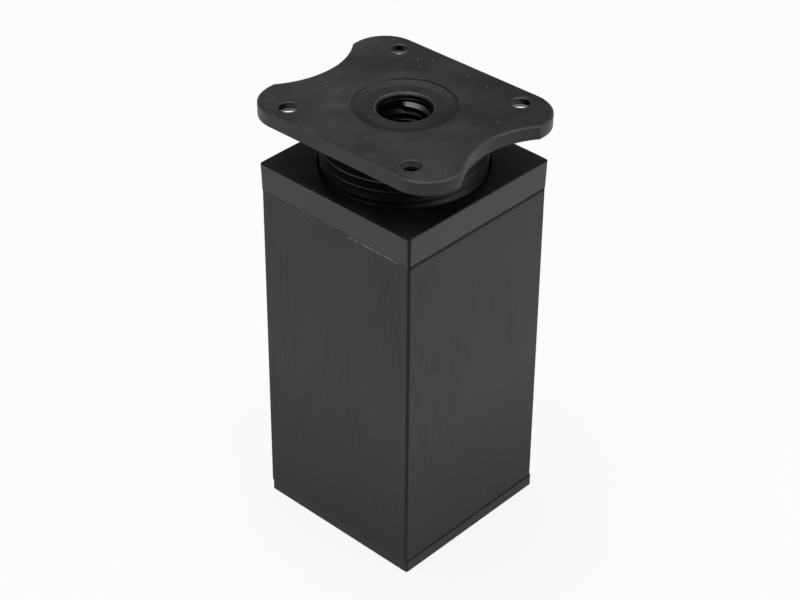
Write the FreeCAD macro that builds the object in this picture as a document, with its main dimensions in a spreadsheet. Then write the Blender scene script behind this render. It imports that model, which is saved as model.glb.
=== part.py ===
import FreeCAD, Part
import Sketcher
import os

# A square furniture leg, about 97 mm high when its plate is screwed home.
# A brushed square tube stands on a moulded foot plug and carries a moulded top cap.
# The mounting plate has a hollow collar with a coarse thread that screws into the cap,
# so turning the leg under the furniture sets its height.
# Millimetres. The leg stands on Z = 0 and its axis is the Z axis.

SIZES = {
    # Leg
    "leg_height": 93.7,            # floor to the top face of the cap
    # Tube
    "tube_width": 45.0,            # across the outside flats
    "tube_wall": 1.2,
    "tube_corner_radius": 0.6,     # outside corner
    "tube_bore_radius": 0.4,       # inside corner
    # Top cap
    "cap_overhang": 0.25,          # its top edge stands this far out from the tube's face
    "cap_draft": 1.2,              # degrees, the band narrows downwards
    "cap_band_height": 7.3,
    "cap_corner_radius": 0.7,
    "cap_edge_chamfer": 0.25,      # top edge
    "cap_joint_chamfer": 0.25,     # shadow line where the cap meets the tube
    "cap_skirt_depth": 10.0,       # below the band, inside the tube
    "cap_skirt_wall": 1.6,
    "cap_roof": 3.0,               # thickness over the cored corners
    "cap_boss_lap": 1.2,           # the round boss runs this far into the skirt's wall
    "cap_boss_wall": 1.6,          # round the bore, which with the fit sets the thread's width
    "cap_mouth_chamfer": 0.3,      # at the top of the bore
    # Foot plug
    "foot_height": 3.0,            # flange between floor and tube, as wide as the tube
    "foot_corner_radius": 0.6,
    "foot_edge_chamfer": 0.15,     # floor edge
    "foot_offset": 0.15,           # the flange stands a little off the tube's axis
    "spigot_height": 12.0,
    "spigot_wall": 1.8,
    # Fit of skirt and spigot in the tube
    "tube_fit": 0.15,              # gap between moulding and tube wall
    "crush_rib_width": 1.2,        # ribs that bridge the gap
    "crush_rib_spacing": 24.0,
    "crush_rib_setback": 2.0,      # they stop short of the leading edge
    "lead_chamfer": 0.6,           # leading edge of skirt and spigot
    # Screw thread between collar and cap
    "thread_pitch": 2.3,
    "thread_depth": 1.1,           # of the collar's V groove
    "thread_crest": 0.3,           # width of the flat crest between two grooves
    "thread_fit": 0.25,            # from the crest to the cap's bore
    "thread_phase": 1.65,          # height of a groove's centre above the collar's end
    # Collar
    "collar_length": 17.0,         # below the plate
    "collar_lead": 1.2,            # chamfer of its end
    "neck_height": 2.4,            # plain neck under the plate, where the thread runs out
    "neck_depth": 1.25,            # from the crest to the neck
    "collar_wall": 2.5,            # under the thread's root
    "collar_roof": 1.6,            # skin under the plate, inside the collar
    "rib_thickness": 1.6,          # radial ribs between collar and boss
    # Mounting plate
    "plate_gap": 11.1,             # between the cap and the plate as it stands
    "plate_turn": 1.0,             # degrees, the plate is turned against the leg
    "plate_length": 55.3,          # along X
    "plate_width": 46.1,           # along Y
    "plate_thickness": 3.3,
    "plate_corner_radius": 8.7,
    "plate_edge_chamfer": 0.4,
    "bite_radius": 21.2,           # concave cut in each end of the plate
    "bite_waist": 46.5,            # plate length between the two cuts
    "hole_circle": 50.7,           # pitch circle of the screw holes
    "hole_width": 4.4,
    "hole_mouth_width": 4.9,       # broken edge on the top face
    "hole_sink_width": 7.6,        # countersink for the screw's head, on the underside
    "dish_radius": 11.8,
    "dish_depth": 0.6,
    "dish_edge": 0.15,             # width of the steep half of its slope
    "dish_foot": 2.2,              # width of the gentle half below it
    "mouth_radius": 6.2,           # opening in the dish, over the insert
    "mouth_chamfer": 0.5,
    # Threaded insert, pressed up into the plate's boss until its flange stops it
    "insert_radius": 7.0,
    "insert_bore_radius": 6.0,
    "insert_height": 11.0,         # above its flange
    "insert_flange_radius": 9.0,
    "insert_flange_height": 1.4,
    "insert_chamfer": 0.25,        # mouth of its bore
    "insert_depth": 1.35,          # from the dish down to the insert
    "insert_fit": 0.05,            # running clearance all round
    "boss_wall": 2.8,
}

SCREW_HOLES = 4
COLLAR_RIBS = 4
TUBE_SIDES = 4

doc = FreeCAD.newDocument("square_leg")
sheet = doc.addObject("Spreadsheet::Sheet", "dims")
for row, (alias, number) in enumerate(SIZES.items(), start=1):
    sheet.set(f"A{row}", alias)
    sheet.set(f"B{row}", str(number))
    sheet.setAlias(f"B{row}", alias)
doc.recompute()

# Places and lengths that several features share, as expressions on the sheet.
CAP_WIDTH = "(dims.tube_width + 2 * dims.cap_overhang)"
TUBE_BORE = "(dims.tube_width - 2 * dims.tube_wall)"
PLUG_WIDTH = f"({TUBE_BORE} - 2 * dims.tube_fit)"
SKIRT_BOTTOM = "(-dims.cap_band_height - dims.cap_skirt_depth)"
DISH_FLOOR = "(dims.plate_thickness - dims.dish_depth)"
INSERT_TOP = f"({DISH_FLOOR} - dims.insert_depth)"
FLANGE_TOP = f"({INSERT_TOP} - dims.insert_height)"
SEAT_RADIUS = "(dims.insert_radius + dims.insert_fit)"
SEAT_TOP = f"({INSERT_TOP} + dims.insert_fit)"
BOSS_RADIUS = f"({SEAT_RADIUS} + dims.boss_wall)"
BOSS_BOTTOM = f"({FLANGE_TOP} + dims.insert_fit)"
PLATE_HEIGHT = "(dims.leg_height + dims.plate_gap)"

# The cap's boss is as wide as its skirt allows, and its bore passes the thread's crests.
# The ridge in the bore that follows the groove is left out.
CORE_EDGE = f"({PLUG_WIDTH} / 2 - dims.cap_skirt_wall)"
CAP_BOSS_RADIUS = f"({CORE_EDGE} + dims.cap_boss_lap)"
CORE_START = f"sqrt({CAP_BOSS_RADIUS} ^ 2 - {CORE_EDGE} ^ 2)"
CAP_BORE_RADIUS = f"({CAP_BOSS_RADIUS} - dims.cap_boss_wall)"
THREAD_RADIUS = f"({CAP_BORE_RADIUS} - dims.thread_fit)"

# The collar's thread is a V groove. Its flanks go this far along the axis for each
# millimetre of depth, and leave a flat crest between two turns.
FLANK = "((dims.thread_pitch - dims.thread_crest) / 2 / dims.thread_depth)"
ROOT_RADIUS = f"({THREAD_RADIUS} - dims.thread_depth)"
COLLAR_BORE_RADIUS = f"({ROOT_RADIUS} - dims.collar_wall)"

# A cutting profile stands this far out of the face that it cuts, in millimetres.
CUT_OVERLAP = "0.1"


def value(expression):
    """The present number of an expression on the sheet."""
    return float(sheet.evalExpression(expression))


def make_body(label):
    body = doc.addObject("PartDesign::Body", label)
    body.Label = label
    return body


def origin_feature(body, role):
    for feature in body.Origin.OriginFeatures:
        if feature.Role == role:
            return feature
    raise ValueError(f"{body.Label} has no {role}")


def make_sketch(body, name, plane="XY_Plane", height="0"):
    """A sketch on one of the body's own origin planes, lifted along its normal."""
    sketch = body.newObject("Sketcher::SketchObject", name)
    sketch.AttachmentSupport = [(origin_feature(body, plane), "")]
    sketch.MapMode = "FlatFace"
    sketch.setExpression("AttachmentOffset.Base.z", height)
    return sketch


def drive(sketch, rule, expression):
    """Add one dimension to a sketch and bind it to the sheet."""
    index = sketch.addConstraint(Sketcher.Constraint(*rule, value(expression)))
    sketch.setExpression(f"Constraints[{index}]", expression)


def place_point(sketch, geometry, point, x_place, y_place):
    """Dimension a point along both axes from the sketch's own origin."""
    drive(sketch, ("DistanceX", -1, 1, geometry, point), x_place)
    drive(sketch, ("DistanceY", -1, 1, geometry, point), y_place)


def add_polygon(sketch, corners):
    """A closed polygon whose corners are pairs of expressions."""
    points = [FreeCAD.Vector(value(x), value(y), 0) for x, y in corners]
    count = len(points)
    first = sketch.GeometryCount
    for index in range(count):
        sketch.addGeometry(Part.LineSegment(points[index], points[(index + 1) % count]), False)
    for index in range(count):
        following = first + (index + 1) % count
        sketch.addConstraint(Sketcher.Constraint("Coincident", first + index, 2, following, 1))
    for index, (x_place, y_place) in enumerate(corners):
        place_point(sketch, first + index, 1, x_place, y_place)


def add_rectangle(sketch, width, depth, x_centre="0", y_centre="0"):
    left = f"{x_centre} - ({width}) / 2"
    right = f"{x_centre} + ({width}) / 2"
    front = f"{y_centre} - ({depth}) / 2"
    back = f"{y_centre} + ({depth}) / 2"
    add_polygon(sketch, [(left, front), (right, front), (right, back), (left, back)])


def add_circle(sketch, radius, x_centre="0", y_centre="0"):
    centre = FreeCAD.Vector(value(x_centre), value(y_centre), 0)
    normal = FreeCAD.Vector(0, 0, 1)
    circle = sketch.addGeometry(Part.Circle(centre, normal, value(radius)), False)
    drive(sketch, ("Radius", circle), radius)
    place_point(sketch, circle, 3, x_centre, y_centre)


def pad(body, name, sketch, length, down=False):
    feature = body.newObject("PartDesign::Pad", name)
    feature.Profile = sketch
    feature.Reversed = down
    feature.setExpression("Length", length)
    return feature


def pocket(body, name, sketch, depth, up=False):
    feature = body.newObject("PartDesign::Pocket", name)
    feature.Profile = sketch
    feature.Reversed = up
    feature.setExpression("Length", depth)
    return feature


def turned_cut(body, name, sketch):
    """A groove turned about the body's own Z axis."""
    feature = body.newObject("PartDesign::Groove", name)
    feature.Profile = sketch
    feature.ReferenceAxis = (sketch, ["V_Axis"])
    feature.Angle = 360
    return feature


def repeat_round(body, name, feature, copies):
    pattern = body.newObject("PartDesign::PolarPattern", name)
    pattern.Originals = [feature]
    pattern.Axis = (origin_feature(body, "Z_Axis"), [""])
    pattern.Angle = 360
    pattern.Occurrences = copies
    body.Tip = pattern
    return pattern


def edges_where(feature, test):
    doc.recompute()
    return [f"Edge{index}" for index, edge in enumerate(feature.Shape.Edges, 1) if test(edge)]


def upright(edge):
    """True for an edge that climbs at a corner, drafted or not."""
    box = edge.BoundBox
    return box.ZLength > max(box.XLength, box.YLength)


def level_at(height):
    """A test for edges that lie flat at one height."""
    def test(edge):
        box = edge.BoundBox
        return box.ZLength < 1e-6 and abs(box.ZMin - value(height)) < 1e-6
    return test


def round_edges(body, name, feature, test, radius):
    dressed = body.newObject("PartDesign::Fillet", name)
    dressed.Base = (feature, edges_where(feature, test))
    dressed.setExpression("Radius", radius)
    return dressed


def bevel_edges(body, name, feature, test, size):
    dressed = body.newObject("PartDesign::Chamfer", name)
    dressed.Base = (feature, edges_where(feature, test))
    dressed.setExpression("Size", size)
    return dressed


def add_crush_ribs(body, name, root, height, down):
    """Two upright ribs on each side of a plug, out to the tube's wall."""
    sketch = make_sketch(body, f"{name}Sketch", height=root)
    reach = f"({PLUG_WIDTH} / 2 + dims.tube_fit / 2)"
    for side in ("-", ""):
        add_rectangle(sketch, "dims.crush_rib_width", "dims.tube_fit",
                      f"{side}dims.crush_rib_spacing / 2", reach)
    ribs = pad(body, name, sketch, f"{height} - dims.crush_rib_setback", down)
    repeat_round(body, f"{name}Round", ribs, TUBE_SIDES)


def make_tube():
    body = make_body("tube")
    outline = make_sketch(body, "TubeOutline")
    add_rectangle(outline, "dims.tube_width", "dims.tube_width")
    length = "dims.leg_height - dims.cap_band_height - dims.foot_height"
    bar = pad(body, "TubeBar", outline, length)
    round_edges(body, "TubeCorners", bar, upright, "dims.tube_corner_radius")
    bore = make_sketch(body, "TubeBoreOutline")
    add_rectangle(bore, TUBE_BORE, TUBE_BORE)
    hollow = pocket(body, "TubeBore", bore, length, up=True)

    def inside_corner(edge):
        reach = max(abs(edge.BoundBox.XMin), abs(edge.BoundBox.XMax))
        return upright(edge) and reach < value(TUBE_BORE) / 2 + 1e-6

    round_edges(body, "TubeBoreCorners", hollow, inside_corner, "dims.tube_bore_radius")
    body.setExpression("Placement.Base.z", "dims.foot_height")
    return body


def make_top_cap():
    """Origin at the middle of its top face. The band, skirt and boss are below."""
    body = make_body("top_cap")
    outline = make_sketch(body, "BandOutline")
    add_rectangle(outline, CAP_WIDTH, CAP_WIDTH)
    band = pad(body, "Band", outline, "dims.cap_band_height", down=True)
    band.setExpression("TaperAngle", "-dims.cap_draft")
    rounded = round_edges(body, "BandCorners", band, upright, "dims.cap_corner_radius")
    shadow = bevel_edges(body, "BandJoint", rounded, level_at("-dims.cap_band_height"),
                         "dims.cap_joint_chamfer")
    bevel_edges(body, "BandEdge", shadow, level_at("0"), "dims.cap_edge_chamfer")

    skirt_outline = make_sketch(body, "SkirtOutline", height="-dims.cap_band_height")
    add_rectangle(skirt_outline, PLUG_WIDTH, PLUG_WIDTH)
    skirt = pad(body, "Skirt", skirt_outline, "dims.cap_skirt_depth", down=True)
    lead = bevel_edges(body, "SkirtLead", skirt, level_at(SKIRT_BOTTOM), "dims.lead_chamfer")

    def skirt_corner(edge):
        return upright(edge) and edge.BoundBox.ZMax < value("-dims.cap_band_height") + 1e-6

    round_edges(body, "SkirtCorners", lead, skirt_corner, "dims.tube_bore_radius + dims.tube_fit")
    add_crush_ribs(body, "CapRib", "-dims.cap_band_height", "dims.cap_skirt_depth", True)

    core = make_sketch(body, "CoreOutline", height=SKIRT_BOTTOM)
    add_core_outline(core)
    cored = pocket(body, "Core", core, f"-{SKIRT_BOTTOM} - dims.cap_roof", up=True)
    repeat_round(body, "CoreRound", cored, TUBE_SIDES)

    bore = make_sketch(body, "BoreProfile", "XZ_Plane")
    add_polygon(bore, [
        ("0", "0"),
        (f"{CAP_BORE_RADIUS} + dims.cap_mouth_chamfer", "0"),
        (CAP_BORE_RADIUS, "-dims.cap_mouth_chamfer"),
        (CAP_BORE_RADIUS, SKIRT_BOTTOM),
        ("0", SKIRT_BOTTOM),
    ])
    turned_cut(body, "Bore", bore)
    body.setExpression("Placement.Base.z", "dims.leg_height")
    return body


def add_core_outline(sketch):
    """One corner between the round boss and the square skirt."""
    edge = value(CORE_EDGE)
    start = value(CORE_START)
    radius = value(CAP_BOSS_RADIUS)
    low = FreeCAD.Vector(edge, start, 0)
    corner = FreeCAD.Vector(edge, edge, 0)
    high = FreeCAD.Vector(start, edge, 0)
    middle = FreeCAD.Vector(radius, radius, 0) / 2 ** 0.5
    sketch.addGeometry(Part.LineSegment(low, corner), False)
    sketch.addGeometry(Part.LineSegment(corner, high), False)
    sketch.addGeometry(Part.Arc(low, middle, high), False)
    sketch.addConstraint(Sketcher.Constraint("Coincident", 0, 2, 1, 1))
    sketch.addConstraint(Sketcher.Constraint("Coincident", 0, 1, 2, 1))
    sketch.addConstraint(Sketcher.Constraint("Coincident", 1, 2, 2, 2))
    place_point(sketch, 0, 2, CORE_EDGE, CORE_EDGE)
    place_point(sketch, 0, 1, CORE_EDGE, CORE_START)
    place_point(sketch, 1, 2, CORE_START, CORE_EDGE)
    drive(sketch, ("Radius", 2), CAP_BOSS_RADIUS)


def make_foot_plug():
    """Origin on the floor, on the tube's axis. The spigot stands up into the tube."""
    body = make_body("foot_plug")
    outline = make_sketch(body, "FlangeOutline")
    add_rectangle(outline, "dims.tube_width", "dims.tube_width",
                  "dims.foot_offset", "dims.foot_offset")
    flange = pad(body, "Flange", outline, "dims.foot_height")
    rounded = round_edges(body, "FlangeCorners", flange, upright, "dims.foot_corner_radius")
    bevel_edges(body, "FlangeEdge", rounded, level_at("0"), "dims.foot_edge_chamfer")

    spigot_outline = make_sketch(body, "SpigotOutline", height="dims.foot_height")
    add_rectangle(spigot_outline, PLUG_WIDTH, PLUG_WIDTH)
    spigot = pad(body, "Spigot", spigot_outline, "dims.spigot_height")
    top = "dims.foot_height + dims.spigot_height"
    lead = bevel_edges(body, "SpigotLead", spigot, level_at(top), "dims.lead_chamfer")

    def spigot_corner(edge):
        return upright(edge) and edge.BoundBox.ZMin > value("dims.foot_height") - 1e-6

    round_edges(body, "SpigotCorners", lead, spigot_corner, "dims.tube_bore_radius + dims.tube_fit")
    hollow = make_sketch(body, "SpigotHollow", height="dims.foot_height")
    inside = f"{PLUG_WIDTH} - 2 * dims.spigot_wall"
    add_rectangle(hollow, inside, inside)
    pocket(body, "SpigotInside", hollow, "dims.spigot_height", up=True)
    add_crush_ribs(body, "FootRib", "dims.foot_height", "dims.spigot_height", False)
    return body


def make_insert():
    """Origin on the plate's underside, so that insert and plate share one place."""
    body = make_body("threaded_insert")
    profile = make_sketch(body, "InsertProfile", "XZ_Plane")
    flange_bottom = f"{FLANGE_TOP} - dims.insert_flange_height"
    add_polygon(profile, [
        ("dims.insert_bore_radius", flange_bottom),
        ("dims.insert_flange_radius", flange_bottom),
        ("dims.insert_flange_radius", FLANGE_TOP),
        ("dims.insert_radius", FLANGE_TOP),
        ("dims.insert_radius", INSERT_TOP),
        ("dims.insert_bore_radius + dims.insert_chamfer", INSERT_TOP),
        ("dims.insert_bore_radius", f"{INSERT_TOP} - dims.insert_chamfer"),
    ])
    turned = body.newObject("PartDesign::Revolution", "Insert")
    turned.Profile = profile
    turned.ReferenceAxis = (profile, ["V_Axis"])
    turned.Angle = 360
    body.setExpression("Placement.Base.z", PLATE_HEIGHT)
    return body


def make_mounting_plate():
    """Origin in the middle of its underside. Collar and boss hang below."""
    body = make_body("mounting_plate")
    outline = make_sketch(body, "PlateOutline")
    add_rectangle(outline, "dims.plate_length", "dims.plate_width")
    blank = pad(body, "PlateBlank", outline, "dims.plate_thickness")
    round_edges(body, "PlateCorners", blank, upright, "dims.plate_corner_radius")
    bites = make_sketch(body, "BiteOutline")
    for side in ("-", ""):
        add_circle(bites, "dims.bite_radius",
                   f"{side}(dims.bite_waist / 2 + dims.bite_radius)")
    bitten = pocket(body, "Bites", bites, "dims.plate_thickness", up=True)
    bevel_edges(body, "PlateEdge", bitten, level_at("dims.plate_thickness"),
                "dims.plate_edge_chamfer")
    add_collar(body)
    add_boss(body)
    add_screw_holes(body)
    body.setExpression("Placement.Base.z", PLATE_HEIGHT)
    body.setExpression("Placement.Rotation.Angle", "dims.plate_turn")
    return body


def add_collar(body):
    """The round collar with its thread, down from the plate."""
    neck = make_sketch(body, "NeckOutline")
    add_circle(neck, f"{THREAD_RADIUS} - dims.neck_depth")
    pad(body, "Neck", neck, "dims.neck_height", down=True)
    outline = make_sketch(body, "CollarOutline", height="-dims.neck_height")
    add_circle(outline, THREAD_RADIUS)
    length = "dims.collar_length - dims.neck_height"
    blank = pad(body, "CollarBlank", outline, length, down=True)
    bevel_edges(body, "CollarLead", blank, level_at("-dims.collar_length"), "dims.collar_lead")

    # The groove starts a turn below the collar's end and runs out in the neck.
    start = "(dims.thread_phase - dims.thread_pitch - dims.collar_length)"
    outer = f"({THREAD_RADIUS} + {CUT_OVERLAP})"
    reach = f"({outer} - {ROOT_RADIUS}) * {FLANK}"
    groove = make_sketch(body, "ThreadProfile", "XZ_Plane")
    add_polygon(groove, [
        (ROOT_RADIUS, start),
        (outer, f"{start} - {reach}"),
        (outer, f"{start} + {reach}"),
    ])
    thread = body.newObject("PartDesign::SubtractiveHelix", "Thread")
    thread.Profile = groove
    thread.ReferenceAxis = (groove, ["V_Axis"])
    thread.Mode = "pitch-height-angle"
    thread.setExpression("Pitch", "dims.thread_pitch")
    thread.setExpression("Height", f"-{start} - dims.neck_height / 2")


def add_boss(body):
    """The hollow of the collar with the ribbed boss in it, and the dish above."""
    hollow = make_sketch(body, "CollarHollowProfile", "XZ_Plane")
    add_polygon(hollow, [
        ("0", "-dims.collar_length"),
        (COLLAR_BORE_RADIUS, "-dims.collar_length"),
        (COLLAR_BORE_RADIUS, "-dims.collar_roof"),
        (BOSS_RADIUS, "-dims.collar_roof"),
        (BOSS_RADIUS, BOSS_BOTTOM),
        ("0", BOSS_BOTTOM),
    ])
    turned_cut(body, "CollarHollow", hollow)
    rib_outline = make_sketch(body, "RibOutline", height=BOSS_BOTTOM)
    middle = f"({BOSS_RADIUS} + {COLLAR_BORE_RADIUS}) / 2"
    reach = f"{COLLAR_BORE_RADIUS} - {BOSS_RADIUS} + dims.thread_depth"
    add_rectangle(rib_outline, reach, "dims.rib_thickness", middle)
    rib = pad(body, "Rib", rib_outline, f"-{BOSS_BOTTOM}")
    repeat_round(body, "RibRound", rib, COLLAR_RIBS)

    centre = make_sketch(body, "CentreProfile", "XZ_Plane")
    add_polygon(centre, [
        ("0", "dims.plate_thickness"),
        ("dims.dish_radius", "dims.plate_thickness"),
        ("dims.dish_radius - dims.dish_edge", "dims.plate_thickness - dims.dish_depth / 2"),
        ("dims.dish_radius - dims.dish_edge - dims.dish_foot", DISH_FLOOR),
        ("dims.mouth_radius + dims.mouth_chamfer", DISH_FLOOR),
        ("dims.mouth_radius", f"{DISH_FLOOR} - dims.mouth_chamfer"),
        ("dims.mouth_radius", SEAT_TOP),
        (SEAT_RADIUS, SEAT_TOP),
        (SEAT_RADIUS, BOSS_BOTTOM),
        ("0", BOSS_BOTTOM),
    ])
    turned_cut(body, "Centre", centre)


def add_screw_holes(body):
    """Four holes on one pitch circle, a quarter turn apart, each sunk from below."""
    place = "dims.hole_circle / 2 * sqrt(2) / 2"
    outline = make_sketch(body, "HoleOutline", height="dims.plate_thickness")
    add_circle(outline, "dims.hole_width / 2", place, place)
    doc.recompute()
    hole = body.newObject("PartDesign::Hole", "ScrewHole")
    hole.Profile = outline
    doc.recompute()
    hole.DepthType = "ThroughAll"
    hole.setExpression("Diameter", "dims.hole_width")
    hole.HoleCutType = "Countersink"
    hole.HoleCutCustomValues = True
    hole.setExpression("HoleCutDiameter", "dims.hole_mouth_width")
    hole.HoleCutCountersinkAngle = 90
    doc.recompute()
    sink_outline = make_sketch(body, "SinkOutline")
    add_circle(sink_outline, "dims.hole_sink_width / 2", place, place)
    sink = pocket(body, "ScrewSink", sink_outline,
                  "(dims.hole_sink_width - dims.hole_width) / 2", up=True)
    sink.TaperAngle = -45
    pattern = repeat_round(body, "ScrewHoles", hole, SCREW_HOLES)
    pattern.Originals = [hole, sink]


def check_model(pieces):
    """Stop if anything failed to recompute or a piece is not one sound solid."""
    doc.recompute()
    for item in doc.Objects:
        if "Invalid" in item.State or "Error" in item.State:
            raise RuntimeError(f"{item.Name} failed: {item.State}")
    for piece in pieces:
        shape = piece.Shape
        if shape.isNull() or not shape.isValid() or len(shape.Solids) != 1:
            raise RuntimeError(f"{piece.Label} is not one valid solid")


pieces = [make_tube(), make_top_cap(), make_foot_plug(), make_insert(), make_mounting_plate()]
check_model(pieces)
os.makedirs("parts", exist_ok=True)
for piece in pieces:
    piece.Shape.exportStep(f"parts/{piece.Label}.step")
    print(piece.Label, round(piece.Shape.Volume, 1), piece.Shape.BoundBox)
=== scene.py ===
import math

import bmesh
import bpy
from mathutils import Matrix, Vector

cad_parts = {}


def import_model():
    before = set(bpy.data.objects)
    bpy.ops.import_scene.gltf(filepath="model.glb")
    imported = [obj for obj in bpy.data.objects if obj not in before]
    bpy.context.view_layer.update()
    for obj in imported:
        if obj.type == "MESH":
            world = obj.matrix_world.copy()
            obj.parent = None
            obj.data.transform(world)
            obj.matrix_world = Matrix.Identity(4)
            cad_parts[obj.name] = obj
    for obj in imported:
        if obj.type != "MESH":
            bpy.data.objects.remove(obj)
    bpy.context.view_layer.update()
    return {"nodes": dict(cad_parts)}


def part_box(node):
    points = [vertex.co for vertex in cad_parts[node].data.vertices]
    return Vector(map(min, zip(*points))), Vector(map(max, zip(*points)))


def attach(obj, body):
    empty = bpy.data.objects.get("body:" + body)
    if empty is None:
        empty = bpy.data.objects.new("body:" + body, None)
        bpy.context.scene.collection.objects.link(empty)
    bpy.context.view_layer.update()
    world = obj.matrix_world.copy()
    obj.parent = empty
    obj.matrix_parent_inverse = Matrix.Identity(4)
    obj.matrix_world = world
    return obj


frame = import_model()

# Metres. The leg stands on Z = 0. Its two visible faces look along -Y and +X.

MM = 0.001

nodes = frame["nodes"]
TUBE_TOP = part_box("tube")[1].z
PLATE_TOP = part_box("mounting_plate")[1].z
insert_low, insert_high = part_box("threaded_insert")
INSERT_TOP = insert_high.z

# Fine thread inside the insert
THREAD_STEPS = 96                 # points round one turn
INNER_BORE = 6.0 * MM             # radius of the insert's wall
INNER_PITCH = 1.75 * MM
INNER_DEPTH = 0.92 * MM
INNER_CREST = 0.22 * MM           # flat crest
INNER_ROOT = 0.16 * MM            # flat root
INNER_CLEAR = 0.01 * MM           # sunk into the insert's wall, so that no gap shows
INNER_BELOW = 0.6 * MM            # from the insert's top down to the thread
INNER_START = 213.0               # degrees, where the top turn begins
INNER_FADE = 5                    # points over which an end runs into the wall
SHARP_EDGE = 30.0                 # degrees, sharper edges are not smoothed

# Upright corners with painted shade, by the smaller of |x| and |y|
TUBE_SHADED_CORNER = (21.80 * MM, 22.05 * MM)
CAP_SHADED_CORNER = (22.00 * MM, 22.25 * MM)
CORNER_SHADE_METAL = 0.7                # metallic share there, which dulls the cap's reflection

# Marks and painted light and shade on the tube
FACE_DISTANCE = 22.3 * MM         # a mark past this is on the outer face
WORN_GLINT_HEIGHT = (TUBE_TOP - 0.38 * MM, TUBE_TOP - 0.26 * MM)
WORN_GLINT_MIDDLE = 11.0 * MM           # along X
WORN_GLINT_REACH = (5.5 * MM, 9.5 * MM)
SHADE_HEIGHT = (TUBE_TOP - 0.72 * MM, TUBE_TOP - 0.62 * MM)
FLOOR_SHADE_HEIGHT = (6.0 * MM, 42.0 * MM)
GAP_SHADE_HEIGHT = (3.25 * MM, 3.5 * MM)
GAP_SHADE_REACH = (8.0 * MM, 20.0 * MM)

# Darker floor edge and painted light on the ledge of the foot
BOTTOM_DARK_HEIGHT = (0.2 * MM, 1.0 * MM)
LEDGE_LIGHT_HEIGHT = (2.97 * MM, 2.99 * MM)

# Marks and painted highlights on the plate and the insert
UPPER_HEIGHT = (PLATE_TOP - 0.3 * MM, PLATE_TOP - 0.1 * MM)
DISH_HEIGHT = (PLATE_TOP - 0.9 * MM, PLATE_TOP - 0.7 * MM)
HAZE_REACH = (2.0 * MM, 30.0 * MM)    # by x + y, towards the plate's clean corner
MOUTH_HIGHLIGHT_INNER = (6.45 * MM, 6.6 * MM)
MOUTH_HIGHLIGHT_OUTER = (6.71 * MM, 6.75 * MM)
MOUTH_HIGHLIGHT_HEIGHT = (PLATE_TOP - 1.2 * MM, PLATE_TOP - 1.1 * MM)
EDGE_HIGHLIGHT_LOW = (PLATE_TOP - 0.42 * MM, PLATE_TOP - 0.38 * MM)
EDGE_HIGHLIGHT_TOP = (PLATE_TOP - 0.06 * MM, PLATE_TOP - 0.02 * MM)
EDGE_HIGHLIGHT_RADIUS = (15.0 * MM, 16.0 * MM)
TURN_HIGHLIGHT_LOW = (INSERT_TOP - 2.1 * MM, INSERT_TOP - 1.9 * MM)
TURN_HIGHLIGHT_TOP = (INSERT_TOP - 0.45 * MM, INSERT_TOP - 0.35 * MM)

# Colours
DUST = (0.30, 0.30, 0.29)
TUBE_DARK = (0.024, 0.024, 0.025)
TUBE_LIGHT = (0.052, 0.052, 0.054)
TUBE_CLOUD = (0.040, 0.040, 0.038)
# Painted shade near the floor, on the corners, under the cap and over the foot, and a worn edge
# with a painted glint
TUBE_FLOOR_SHADE = (0.018, 0.018, 0.0176)
TUBE_CORNER_SHADE = (0.020, 0.020, 0.020)
TUBE_WORN_GLINT = (0.21, 0.21, 0.205)
TUBE_SHADE = (0.001, 0.001, 0.001)
TUBE_GAP_SHADE = (0.004, 0.004, 0.004)
CAP_DARK = (0.0056, 0.0056, 0.0057)
CAP_LIGHT = (0.0095, 0.0095, 0.0097)
FOOT_DARK = (0.015, 0.015, 0.015)
FOOT_LIGHT = (0.024, 0.024, 0.024)
# Darker along the foot's floor edge, and painted light on its ledge
FOOT_BOTTOM_DARK = (0.012, 0.012, 0.012)
FOOT_LEDGE_PAINTED_LIGHT = (0.050, 0.050, 0.050)
PLATE_DARK = (0.0045, 0.0045, 0.0046)
PLATE_LIGHT = (0.0078, 0.0078, 0.008)
PLATE_HAZE = (0.030, 0.0303, 0.0313)
# Painted highlights round the dish's mouth and along the plate's top edge
PLATE_MOUTH_HIGHLIGHT = (0.085, 0.085, 0.081)
PLATE_EDGE_HIGHLIGHT = (0.050, 0.050, 0.050)
PLATE_DUST = (0.36, 0.36, 0.35)
STEEL_DARK = (0.006, 0.006, 0.0055)
STEEL_LIGHT = (0.014, 0.014, 0.013)
# Painted highlight on the insert's first thread turn
STEEL_TURN_HIGHLIGHT = (0.050, 0.050, 0.048)


def node(tree, kind, **values):
    """A shader node with its properties and unlinked inputs set."""
    made = tree.nodes.new(kind)
    for name, setting in values.items():
        if hasattr(made, name):
            setattr(made, name, setting)
        else:
            made.inputs[name.replace("_", " ")].default_value = setting
    return made


def new_material(name, base, roughness, metallic=0.0, specular=0.5):
    """A material with its shader, and the tree and shader for more nodes."""
    material = bpy.data.materials.new(name)
    material.use_nodes = True
    tree = material.node_tree
    shader = tree.nodes["Principled BSDF"]
    shader.inputs["Base Color"].default_value = (*base, 1.0)
    shader.inputs["Roughness"].default_value = roughness
    shader.inputs["Metallic"].default_value = metallic
    shader.inputs["Specular IOR Level"].default_value = specular
    return material, tree, shader


def noise(tree, scale, detail=4.0, roughness=0.6, stretch=(1.0, 1.0, 1.0)):
    """A noise pattern over the object's coordinates, which may be stretched along each axis."""
    place = node(tree, "ShaderNodeTexCoord")
    mapping = node(tree, "ShaderNodeMapping", Scale=stretch)
    tree.links.new(place.outputs["Object"], mapping.inputs["Vector"])
    made = node(tree, "ShaderNodeTexNoise", Scale=scale, Detail=detail, Roughness=roughness)
    tree.links.new(mapping.outputs["Vector"], made.inputs["Vector"])
    return made.outputs["Fac"]


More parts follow.
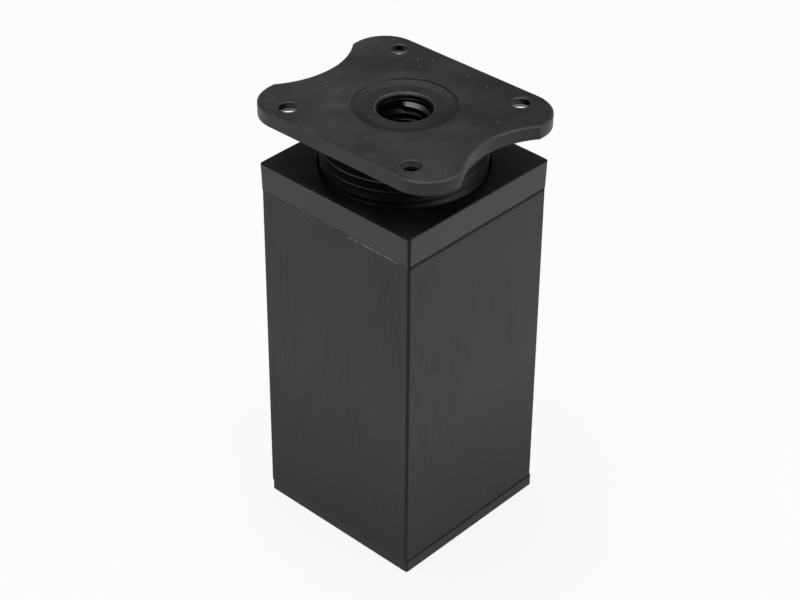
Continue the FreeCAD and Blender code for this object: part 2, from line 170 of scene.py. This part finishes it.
def spread(tree, factor, low, high, low_out, high_out):
    """A factor stretched from one range to another, and held at its ends."""
    made = node(tree, "ShaderNodeMapRange", clamp=True)
    made.inputs["From Min"].default_value = low
    made.inputs["From Max"].default_value = high
    made.inputs["To Min"].default_value = low_out
    made.inputs["To Max"].default_value = high_out
    tree.links.new(factor, made.inputs["Value"])
    return made.outputs["Result"]


def past(tree, place, limits, most=1.0):
    """0 before a stretch, the most past it."""
    return spread(tree, place, *limits, 0.0, most)


def before(tree, place, limits, most=1.0, least=0.0):
    """The most before a stretch, the least past it."""
    return spread(tree, place, *limits, most, least)


def mixed(tree, factor, low, high):
    """A colour between two, by a factor."""
    made = node(tree, "ShaderNodeMix", data_type="RGBA")
    tree.links.new(factor, made.inputs["Factor"])
    for name, colour in (("A", low), ("B", high)):
        socket = [s for s in made.inputs if s.name == name and s.type == "RGBA"][0]
        if isinstance(colour, tuple):
            socket.default_value = (*colour, 1.0)
        else:
            tree.links.new(colour, socket)
    return [s for s in made.outputs if s.type == "RGBA"][0]


def maths(tree, operation, *terms):
    """One sum on numbers or factors."""
    made = node(tree, "ShaderNodeMath", operation=operation)
    for socket, term in zip(made.inputs, terms):
        if isinstance(term, float):
            socket.default_value = term
        else:
            tree.links.new(term, socket)
    return made.outputs[0]


def times(tree, first, *others):
    """The product of factors."""
    for other in others:
        first = maths(tree, "MULTIPLY", first, other)
    return first


def object_axes(tree):
    """The three object coordinates."""
    place = node(tree, "ShaderNodeTexCoord")
    parts = node(tree, "ShaderNodeSeparateXYZ")
    tree.links.new(place.outputs["Object"], parts.inputs["Vector"])
    return parts.outputs["X"], parts.outputs["Y"], parts.outputs["Z"]


def on_corners(tree, limits):
    """1 on the rounded upright corners of a square piece, 0 on its flats."""
    x, y, z = object_axes(tree)
    inner = maths(tree, "MINIMUM", maths(tree, "ABSOLUTE", x), maths(tree, "ABSOLUTE", y))
    return past(tree, inner, limits)


def specks(tree, cell, radius, share):
    """Sparse dust specks of uneven shape: 1 on a speck, 0 between them."""
    place = node(tree, "ShaderNodeTexCoord")
    ragged = node(tree, "ShaderNodeTexNoise", Scale=2.2 / radius, Detail=2.0)
    tree.links.new(place.outputs["Object"], ragged.inputs["Vector"])
    shift = node(tree, "ShaderNodeVectorMath", operation="MULTIPLY_ADD")
    tree.links.new(ragged.outputs["Color"], shift.inputs[0])
    shift.inputs[1].default_value = (radius * 1.6,) * 3
    tree.links.new(place.outputs["Object"], shift.inputs[2])
    cells = node(tree, "ShaderNodeTexVoronoi", Scale=1.0 / cell)
    tree.links.new(shift.outputs[0], cells.inputs["Vector"])
    near = before(tree, cells.outputs["Distance"], (0.6 * radius / cell, radius / cell))
    parts = node(tree, "ShaderNodeSeparateColor")
    tree.links.new(cells.outputs["Color"], parts.inputs[0])
    return times(tree, near, maths(tree, "LESS_THAN", parts.outputs[0], share))


def finish_surface(tree, shader, colour, rough, grain, depth, strength):
    """Colour, roughness and fine relief, linked to the shader."""
    tree.links.new(colour, shader.inputs["Base Color"])
    tree.links.new(rough, shader.inputs["Roughness"])
    relief = node(tree, "ShaderNodeBump", Strength=strength, Distance=depth)
    tree.links.new(grain, relief.inputs["Height"])
    tree.links.new(relief.outputs["Normal"], shader.inputs["Normal"])


def brushed_black():
    """Black anodised metal, brushed along Z, with painted shade low down, on its corners and at its
    joints, and a worn edge with a painted glint along part of its top edge.
    """
    material, tree, shader = new_material("brushed_black", (0.047, 0.047, 0.050), 0.42, 0.85)
    fine = noise(tree, 1.0, 5.0, 0.65, stretch=(5200.0, 5200.0, 40.0))
    broad = noise(tree, 1.0, 3.0, 0.55, stretch=(900.0, 900.0, 95.0))
    cloud = noise(tree, 1.0, 2.0, 0.5, stretch=(75.0, 75.0, 38.0))
    chips = noise(tree, 700.0, 3.0)
    x, y, z = object_axes(tree)

    # Brushing, in darker strokes where the clouds lie, and painted shade that darkens it towards
    # the floor
    strokes = spread(tree, broad, 0.34, 0.50, 0.62, 1.0)
    lines = maths(tree, "MAXIMUM", strokes, before(tree, cloud, (0.47, 0.60)))
    grain = times(tree, spread(tree, fine, 0.3, 0.7, 0.72, 1.0), lines)
    colour = mixed(tree, grain, TUBE_DARK, TUBE_LIGHT)
    colour = mixed(tree, past(tree, cloud, (0.35, 0.7), 0.25), colour, TUBE_CLOUD)
    colour = mixed(tree, before(tree, z, FLOOR_SHADE_HEIGHT, 0.85), colour, TUBE_FLOOR_SHADE)
    # Painted shade on the upright corners
    colour = mixed(tree, on_corners(tree, TUBE_SHADED_CORNER), colour, TUBE_CORNER_SHADE)

    # Worn bare metal with a painted glint on the top edge of the -Y face
    along = maths(tree, "ABSOLUTE", maths(tree, "SUBTRACT", x, WORN_GLINT_MIDDLE))
    worn_glint = times(
        tree,
        past(tree, z, WORN_GLINT_HEIGHT),
        before(tree, along, WORN_GLINT_REACH, least=0.2),
        maths(tree, "LESS_THAN", y, -FACE_DISTANCE),
        past(tree, chips, (0.42, 0.52)),
    )
    colour = mixed(tree, worn_glint, colour, TUBE_WORN_GLINT)

    # Painted shadow on the +X face under the cap's overhang, and painted shade in the joint over
    # the foot
    shade = times(
        tree,
        past(tree, z, SHADE_HEIGHT),
        maths(tree, "GREATER_THAN", x, FACE_DISTANCE),
        spread(tree, chips, 0.3, 0.45, 0.8, 1.0),
    )
    colour = mixed(tree, shade, colour, TUBE_SHADE)
    # Painted shade in the joint over the foot
    gap = times(tree, before(tree, z, GAP_SHADE_HEIGHT), past(tree, y, GAP_SHADE_REACH, 0.9))
    colour = mixed(tree, gap, colour, TUBE_GAP_SHADE)

    dust = specks(tree, 1.6 * MM, 0.11 * MM, 0.10)
    colour = mixed(tree, dust, colour, DUST)
    rough = maths(tree, "MAXIMUM", spread(tree, fine, 0.3, 0.7, 0.36, 0.52), dust)
    finish_surface(tree, shader, colour, rough, fine, 0.02 * MM, 0.6)
    return material


def cap_black():
    """Smooth moulded plastic with a faint grain, with painted shade on the corners, and with dust
    specks.
    """
    material, tree, shader = new_material("cap_plastic", (0.005, 0.005, 0.0052), 0.32)
    grain = noise(tree, 2600.0, 3.0)
    flow = noise(tree, 90.0)
    colour = mixed(tree, past(tree, flow, (0.35, 0.68)), CAP_DARK, CAP_LIGHT)
    dust = specks(tree, 1.5 * MM, 0.12 * MM, 0.12)
    colour = mixed(tree, dust, colour, DUST)
    # Painted shade on the upright corners, as a metallic share that darkens their reflection
    corner = maths(tree, "MULTIPLY", on_corners(tree, CAP_SHADED_CORNER), CORNER_SHADE_METAL)
    tree.links.new(corner, shader.inputs["Metallic"])
    rough = maths(tree, "MAXIMUM", spread(tree, flow, 0.3, 0.7, 0.27, 0.37), dust)
    finish_surface(tree, shader, colour, rough, grain, 0.03 * MM, 0.3)
    return material


def foot_black():
    """Moulded plastic as dark as the tube over it, darker in patches along the floor edge, with
    painted light on its ledge.
    """
    material, tree, shader = new_material("foot_plastic", (0.004, 0.004, 0.0041), 0.45, 0.6)
    grain = noise(tree, 2600.0, 3.0)
    flow = noise(tree, 300.0)
    x, y, z = object_axes(tree)
    colour = mixed(tree, past(tree, flow, (0.35, 0.68)), FOOT_DARK, FOOT_LIGHT)
    # Darker in patches along the floor edge
    bottom_dark = times(tree, before(tree, z, BOTTOM_DARK_HEIGHT), past(tree, flow, (0.45, 0.6), 0.5))
    colour = mixed(tree, bottom_dark, colour, FOOT_BOTTOM_DARK)
    # Painted light on the upward ledge under the tube
    colour = mixed(tree, past(tree, z, LEDGE_LIGHT_HEIGHT), colour, FOOT_LEDGE_PAINTED_LIGHT)
    rough = spread(tree, flow, 0.3, 0.7, 0.40, 0.52)
    finish_surface(tree, shader, colour, rough, grain, 0.03 * MM, 0.3)
    return material


def plate_black():
    """Moulded plastic with a pebbled grain, scuffed on its top and dusty, with painted highlights
    round the dish's mouth and along the top edge.
    """
    material, tree, shader = new_material("plate_plastic", (0.006, 0.006, 0.0062), 0.42)
    grain = noise(tree, 2200.0, 3.0)
    flow = noise(tree, 110.0)
    rub = noise(tree, 1.0, 6.0, 0.75, stretch=(210.0, 160.0, 160.0))
    smudge = noise(tree, 1.0, 3.0, stretch=(55.0, 55.0, 55.0))
    x, y, z = object_axes(tree)
    squares = maths(tree, "ADD", maths(tree, "MULTIPLY", x, x), maths(tree, "MULTIPLY", y, y))
    radius = maths(tree, "SQRT", squares)
    colour = mixed(tree, past(tree, flow, (0.35, 0.68)), PLATE_DARK, PLATE_LIGHT)

    # Grey haze on the top face, faint in the dish
    upper = past(tree, z, UPPER_HEIGHT)
    haze = times(
        tree,
        maths(tree, "MAXIMUM", upper, past(tree, z, DISH_HEIGHT, 0.04)),
        spread(tree, rub, 0.32, 0.68, 0.15, 1.0),
        spread(tree, smudge, 0.35, 0.65, 0.35, 1.0),
        before(tree, maths(tree, "ADD", x, y), HAZE_REACH, least=0.15),
    )
    colour = mixed(tree, haze, colour, PLATE_HAZE)

    # Painted highlight round the dish's mouth, and painted highlight along the plate's top chamfer
    mouth_highlight = times(
        tree,
        past(tree, radius, MOUTH_HIGHLIGHT_INNER),
        before(tree, radius, MOUTH_HIGHLIGHT_OUTER),
        past(tree, z, MOUTH_HIGHLIGHT_HEIGHT),
        spread(tree, rub, 0.35, 0.6, 0.5, 1.0),
    )
    colour = mixed(tree, mouth_highlight, colour, PLATE_MOUTH_HIGHLIGHT)
    # Painted highlight along the plate's top chamfer
    edge_highlight = times(
        tree,
        past(tree, z, EDGE_HIGHLIGHT_LOW),
        before(tree, z, EDGE_HIGHLIGHT_TOP),
        past(tree, radius, EDGE_HIGHLIGHT_RADIUS, 0.8),
    )
    colour = mixed(tree, edge_highlight, colour, PLATE_EDGE_HIGHLIGHT)

    # Single specks everywhere, and powder in patches on the top face
    powder = specks(tree, 0.45 * MM, 0.07 * MM, 0.35)
    powder = times(tree, powder, past(tree, flow, (0.46, 0.62), 0.45), upper)
    dust = maths(tree, "MAXIMUM", specks(tree, 1.3 * MM, 0.13 * MM, 0.20), powder)
    colour = mixed(tree, dust, colour, PLATE_DUST)
    rough = maths(tree, "MAXIMUM", spread(tree, smudge, 0.35, 0.65, 0.38, 0.5), dust)
    finish_surface(tree, shader, colour, rough, grain, 0.03 * MM, 0.35)
    return material


def dark_steel():
    """Blackened steel, turned, with a painted highlight on its first thread turn."""
    material, tree, shader = new_material("dark_steel", (0.03, 0.03, 0.028), 0.34, 1.0)
    turned = noise(tree, 1.0, 3.0, stretch=(300.0, 300.0, 5200.0))
    x, y, z = object_axes(tree)
    colour = mixed(tree, past(tree, turned, (0.3, 0.7)), STEEL_DARK, STEEL_LIGHT)
    # Painted highlight on the first thread turn
    first = times(tree, past(tree, z, TURN_HIGHLIGHT_LOW), before(tree, z, TURN_HIGHLIGHT_TOP, least=0.12))
    colour = mixed(tree, first, colour, STEEL_TURN_HIGHLIGHT)
    tree.links.new(colour, shader.inputs["Base Color"])
    tree.links.new(spread(tree, turned, 0.3, 0.7, 0.30, 0.44), shader.inputs["Roughness"])
    return material


def put_material(obj, material):
    """One material on every face of an object."""
    obj.data.materials.clear()
    obj.data.materials.append(material)


def inner_thread(bore_radius, bottom, top):
    """The helical ridge inside the insert, closed at both ends by running into the wall."""
    wall = bore_radius + INNER_CLEAR
    crest = bore_radius - INNER_DEPTH
    half_crest = INNER_CREST / 2
    half_root = (INNER_PITCH - INNER_ROOT) / 2
    turns = (top - bottom - INNER_PITCH) / INNER_PITCH
    steps = int(turns * THREAD_STEPS)
    mesh = bmesh.new()
    rings = []
    for step in range(steps + 1):
        angle = math.radians(INNER_START) + 2 * math.pi * step / THREAD_STEPS
        height = top - INNER_PITCH / 2 - INNER_PITCH * step / THREAD_STEPS
        fade = min(1.0, step / INNER_FADE, (steps - step) / INNER_FADE)
        ridge = wall + (crest - wall) * fade
        corners = (
            (wall, -half_root), (ridge, -half_crest), (ridge, half_crest), (wall, half_root),
        )
        turn = Matrix.Rotation(-angle, 3, "Z")
        rings.append([mesh.verts.new(turn @ Vector((r, 0.0, height + dz))) for r, dz in corners])
    for low, high in zip(rings, rings[1:]):
        for index in range(4):
            following = (index + 1) % 4
            mesh.faces.new((low[index], low[following], high[following], high[index]))
    mesh.faces.new(rings[0][::-1])
    mesh.faces.new(rings[-1])
    bmesh.ops.recalc_face_normals(mesh, faces=mesh.faces)
    data = bpy.data.meshes.new("insert_thread")
    mesh.to_mesh(data)
    mesh.free()
    for face in data.polygons:
        face.use_smooth = True
    obj = bpy.data.objects.new("insert_thread", data)
    bpy.context.scene.collection.objects.link(obj)
    edge = obj.modifiers.new("edges", "EDGE_SPLIT")
    edge.split_angle = math.radians(SHARP_EDGE)
    return obj


def area_light(name, place, target, size, watts):
    """A white soft box that faces a point."""
    light = bpy.data.lights.new(name, "AREA")
    light.shape = "RECTANGLE"
    light.size, light.size_y = size
    light.energy = watts
    obj = bpy.data.objects.new(name, light)
    bpy.context.scene.collection.objects.link(obj)
    obj.location = place
    obj.rotation_euler = (Vector(target) - Vector(place)).to_track_quat("-Z", "Y").to_euler()


# Materials on the CAD nodes
steel = dark_steel()
put_material(nodes["tube"], brushed_black())
put_material(nodes["top_cap"], cap_black())
put_material(nodes["foot_plug"], foot_black())
put_material(nodes["mounting_plate"], plate_black())
put_material(nodes["threaded_insert"], steel)

# Thread inside the insert
thread = inner_thread(INNER_BORE, insert_low.z, INSERT_TOP - INNER_BELOW)
put_material(thread, steel)
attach(thread, "insert")

# Floor
FLOOR_SIZE = 6.0
FLOOR_DROP = 0.2 * MM             # below the foot
FLOOR_SEEN = 0.88                 # share of plain white that the camera sees
FLOOR_MIRRORED = 0.66             # and that the object mirrors
mesh = bpy.data.meshes.new("floor")
half = FLOOR_SIZE / 2
mesh.from_pydata(
    [(-half, -half, 0), (half, -half, 0), (half, half, 0), (-half, half, 0)], [], [(0, 1, 2, 3)])
floor = bpy.data.objects.new("floor", mesh)
bpy.context.scene.collection.objects.link(floor)
floor.location.z = -FLOOR_DROP

paper = bpy.data.materials.new("floor_paper")
paper.use_nodes = True
tree = paper.node_tree
tree.nodes.clear()
output = node(tree, "ShaderNodeOutputMaterial")
diffuse = node(tree, "ShaderNodeBsdfDiffuse", Color=(0.8, 0.8, 0.8, 1.0))
glow = node(tree, "ShaderNodeEmission", Color=(1.0, 1.0, 1.0, 1.0), Strength=1.0)
rays = node(tree, "ShaderNodeLightPath")
seen = maths(tree, "MULTIPLY", rays.outputs["Is Camera Ray"], FLOOR_SEEN)
mirrored = maths(
    tree, "MAXIMUM", rays.outputs["Is Glossy Ray"], rays.outputs["Is Transmission Ray"])
mirrored = maths(tree, "MULTIPLY", mirrored, FLOOR_MIRRORED)
blend = node(tree, "ShaderNodeMixShader")
tree.links.new(maths(tree, "MAXIMUM", seen, mirrored), blend.inputs[0])
tree.links.new(diffuse.outputs[0], blend.inputs[1])
tree.links.new(glow.outputs[0], blend.inputs[2])
tree.links.new(blend.outputs[0], output.inputs["Surface"])
put_material(floor, paper)

# Light
world = bpy.data.worlds.new("studio")
world.use_nodes = True
world.node_tree.nodes["Background"].inputs["Color"].default_value = (1.0, 1.0, 1.0, 1.0)
world.node_tree.nodes["Background"].inputs["Strength"].default_value = 0.08
bpy.context.scene.world = world
area_light("key", (-0.08, -0.10, 1.00), (0, 0, 0.06), (0.7, 0.7), 8.5)
area_light("rear", (-0.25, 0.27, 0.85), (0, 0, 0.08), (0.5, 0.5), 0.9)
area_light("side", (0.75, 0.25, 0.55), (0, 0, 0.06), (0.5, 0.5), 2.2)

# Camera, from the leg's outlines in the photograph
CAMERA_AZIMUTH = math.radians(42.8832)
CAMERA_ELEVATION = math.radians(35.0291)
CAMERA_ROLL = math.radians(0.4835)
CAMERA_RIGHT = -0.3121 * MM
CAMERA_UP = 45.8654 * MM
CAMERA_BACK = 531.1718 * MM
FOCAL_PIXELS = 2151.28
IMAGE_WIDTH = 800                 # pixels

back = Vector((
    math.sin(CAMERA_AZIMUTH) * math.cos(CAMERA_ELEVATION),
    -math.cos(CAMERA_AZIMUTH) * math.cos(CAMERA_ELEVATION),
    math.sin(CAMERA_ELEVATION),
))
level = Vector((0, 0, 1)).cross(back).normalized()
rise = back.cross(level)
right = level * math.cos(CAMERA_ROLL) + rise * math.sin(CAMERA_ROLL)
up = rise * math.cos(CAMERA_ROLL) - level * math.sin(CAMERA_ROLL)
lens = bpy.data.cameras.new("camera")
lens.sensor_width = 36.0
lens.lens = FOCAL_PIXELS * lens.sensor_width / IMAGE_WIDTH
lens.clip_start = 0.01
lens.clip_end = 20.0
camera = bpy.data.objects.new("camera", lens)
bpy.context.scene.collection.objects.link(camera)
turn = Matrix((right, up, back)).transposed().to_4x4()
place = right * CAMERA_RIGHT + up * CAMERA_UP + back * CAMERA_BACK
camera.matrix_world = Matrix.Translation(place) @ turn
bpy.context.scene.camera = camera

bpy.context.scene.view_settings.view_transform = "Standard"
